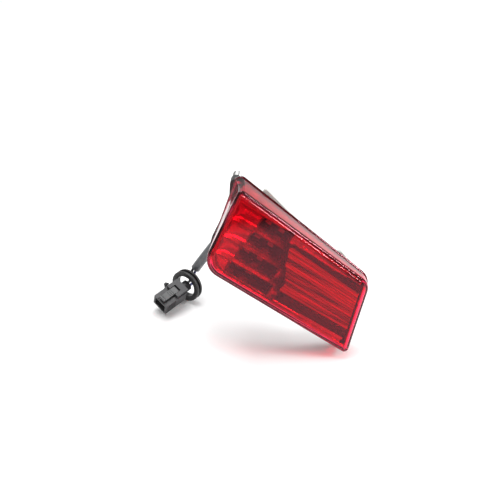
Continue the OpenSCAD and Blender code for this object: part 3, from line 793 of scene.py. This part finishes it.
# ---- Rear housing and vent
# A black moulding with fine spark grain: plate, upright wall, rest pad, spigots for the studs and
# a boss for the gland. A grey vent cap lets it breathe.
grained_black, _ = finish_of("grained_black_housing", (0.02, 0.02, 0.021), (0.034, 0.034, 0.036),
                             (0.45, 0.62), mottle=300, pit=3500, depth=0.05)
soft_edged("rear_housing_moulding", "rear_housing", "lamp", grained_black, 0.25)
vent_grey, _ = finish_of("vent_cap_grey", (0.24, 0.24, 0.25), (0.33, 0.33, 0.34), (0.4, 0.55))
soft_edged("vent_cap", "vent_plug", "lamp", vent_grey, 0.2)


# ---- Foam gasket
# A die-cut band of closed-cell foam, pale grey, stuck on the plate round its edge. Its open cells
# show on the cut sides.
def cell_foam():
    """Dull pale foam with small cells as pits."""
    finish, _ = finish_of("pale_cell_foam", (0.46, 0.475, 0.45), (0.55, 0.565, 0.54), (0.8, 0.95),
                          mottle=1500)
    where = finish.node_tree.nodes.new("ShaderNodeTexCoord")
    cells = finish.node_tree.nodes.new("ShaderNodeTexVoronoi")
    cells.inputs["Scale"].default_value = 1800
    finish.node_tree.links.new(where.outputs["Object"], cells.inputs["Vector"])
    give_relief(finish, cells.outputs["Distance"], 0.15)
    return finish


soft_edged("foam_gasket_band", "foam_gasket", "lamp", cell_foam(), 0.5)


# ---- Studs
# Zinc-plated M5 studs moulded into the spigots, with a rolled thread and a chamfered tip.
STUD_R, STUD_FROM, STUD_TO, STUD_CHAMFER = 2.5, -4.6, 14.0, 0.7
THREAD_FROM, THREAD_PITCH, THREAD_D = 3.4, 0.8, 0.42


def stud_mesh(at, sides=36, steps_a_turn=8):
    """A shank whose radius follows a rolled thread as it goes round and along."""
    bm = bmesh.new()
    rings = []
    steps = int((STUD_TO - THREAD_FROM) / THREAD_PITCH * steps_a_turn)
    rows = [STUD_FROM, THREAD_FROM - 0.3] + [THREAD_FROM + (STUD_TO - THREAD_FROM) * k / steps
                                             for k in range(steps + 1)]
    for y in rows:
        ring = []
        for k in range(sides):
            turn = k / sides
            phase = (y / THREAD_PITCH - turn) % 1
            cut = THREAD_D * abs(2 * phase - 1) if y >= THREAD_FROM else 0.0
            tip = max(0.0, y - (STUD_TO - STUD_CHAMFER))
            r = min(STUD_R - cut, STUD_R - tip)
            ring.append(bm.verts.new(Vector((at.x + r * math.cos(2 * math.pi * turn), y,
                                             at.y + r * math.sin(2 * math.pi * turn))) * MM))
        rings.append(ring)
    skin(bm, rings)
    bm.faces.new(rings[0])
    bm.faces.new(rings[-1])
    return bm


zinc, _ = finish_of("zinc_plated_steel", (0.3, 0.3, 0.3), (0.45, 0.45, 0.44), (0.3, 0.45), mottle=800,
                    pit=3000, metallic=1.0)
for stud_name, stud_at in zip(("stud_upper", "stud_lower"), STUDS):
    place(stud_name + "_threaded", stud_mesh(stud_at), "lamp", zinc, [stud_name],
          crease=30)


# ---- Cable gland
# A black rubber strain relief pushed into the housing's boss. It tapers to the sleeve, with four
# grooves that let it bend.
GLAND_AT = Vector((-30, LENS_REAR + 0.5, -4)) * MM
gland_profile = [(3.0, 0), (4.2, 0), (4.2, 6.5), (5.7, 6.5), (6.0, 6.8), (6.0, 8.2), (5.7, 8.5)]
for groove in range(4):
    start = 8.9 + groove * 1.6
    wide = 5.5 - 0.43 * groove
    gland_profile += [(wide, start), (wide - 0.05, start + 0.7), (wide - 0.75, start + 0.9),
                      (wide - 0.78, start + 1.35)]
gland_profile += [(3.75, 15.3), (3.3, 15.5), (3.0, 15.5)]
gland_mesh = bmesh.new()
turned(gland_mesh, gland_profile, GLAND_AT, Vector((0, 1, 0)), 48)
place("cable_gland_boot", gland_mesh, "lamp", soft_rubber, ["cable_gland"])


# ---- Bench and light
# A pale bench that the lamp leans on with one corner, seen from above only. A round grey cloth in
# front keeps the bench's glare off the lens. A large soft box overhead and a small one light it.
bench_up = Vector((-0.559, -0.172, 0.812)).normalized()
BENCH_DROP, BENCH_R = 56.6 * MM, 4
CLOTH_R, CLOTH_EDGE = 0.19, 0.04
cloth_line = eye_right * 0.03 - eye_up * 0.305
cloth_down = (BENCH_DROP + cloth_line.dot(bench_up)) / eye_back.dot(bench_up)
CLOTH_AT = cloth_line - eye_back * cloth_down


def bench():
    """A wide pale disc under the lamp's lowest corner, unseen from below, with a grey cloth on it."""
    across = bench_up.orthogonal().normalized()
    other = bench_up.cross(across)
    bm = bmesh.new()
    middle = -bench_up * BENCH_DROP
    rim = [bm.verts.new(middle + BENCH_R * (across * math.cos(math.pi * k / 32)
                                            + other * math.sin(math.pi * k / 32)))
           for k in range(64)]
    bm.faces.new(rim)
    mesh = bpy.data.meshes.new("bench")
    bm.to_mesh(mesh)
    bm.free()
    top = bpy.data.objects.new("bench", mesh)
    bpy.context.scene.collection.objects.link(top)
    finish = bpy.data.materials.new("pale_bench")
    finish.use_nodes = True
    nodes, links = finish.node_tree.nodes, finish.node_tree.links
    shader = nodes["Principled BSDF"]
    shader.inputs["Roughness"].default_value = 0.6
    where = nodes.new("ShaderNodeTexCoord")
    apart = nodes.new("ShaderNodeVectorMath")
    apart.operation = "DISTANCE"
    apart.inputs[1].default_value = CLOTH_AT
    edge = nodes.new("ShaderNodeMapRange")
    edge.inputs["From Min"].default_value = CLOTH_R - CLOTH_EDGE
    edge.inputs["From Max"].default_value = CLOTH_R
    shade = nodes.new("ShaderNodeMix")
    shade.data_type = "RGBA"
    shade.inputs["A"].default_value = (0.1, 0.1, 0.105, 1)
    shade.inputs["B"].default_value = (0.9, 0.9, 0.9, 1)
    links.new(where.outputs["Object"], apart.inputs[0])
    links.new(apart.outputs["Value"], edge.inputs["Value"])
    links.new(edge.outputs["Result"], shade.inputs["Factor"])
    links.new(shade.outputs["Result"], shader.inputs["Base Color"])
    side = nodes.new("ShaderNodeNewGeometry")
    unseen = nodes.new("ShaderNodeBsdfTransparent")
    show_other(finish, shader, unseen, side.outputs["Backfacing"])
    mesh.materials.append(finish)


def soft_box(name, towards, distance, size, power):
    """A square diffused lamp that faces the origin."""
    lamp = bpy.data.objects.new(name, bpy.data.lights.new(name, "AREA"))
    lamp.data.shape = "SQUARE"
    lamp.data.size = size
    lamp.data.energy = power
    towards = towards.normalized()
    lamp.location = towards * distance
    lamp.rotation_euler = towards.to_track_quat("Z", "Y").to_euler()
    bpy.context.scene.collection.objects.link(lamp)


bench()
soft_box("overhead", bench_up + eye_up * 0.35 - eye_right * 0.1, distance=1.2, size=0.8, power=13)
soft_box("strip", Vector((0.46, -0.25, 0.86)), distance=1.0, size=0.3, power=7)
world = bpy.data.worlds.new("white_studio")
world.use_nodes = True
world.node_tree.nodes["Background"].inputs["Color"].default_value = (1, 1, 1, 1)
world.node_tree.nodes["Background"].inputs["Strength"].default_value = 0.6
bpy.context.scene.world = world
bpy.context.scene.view_settings.view_transform = "Standard"
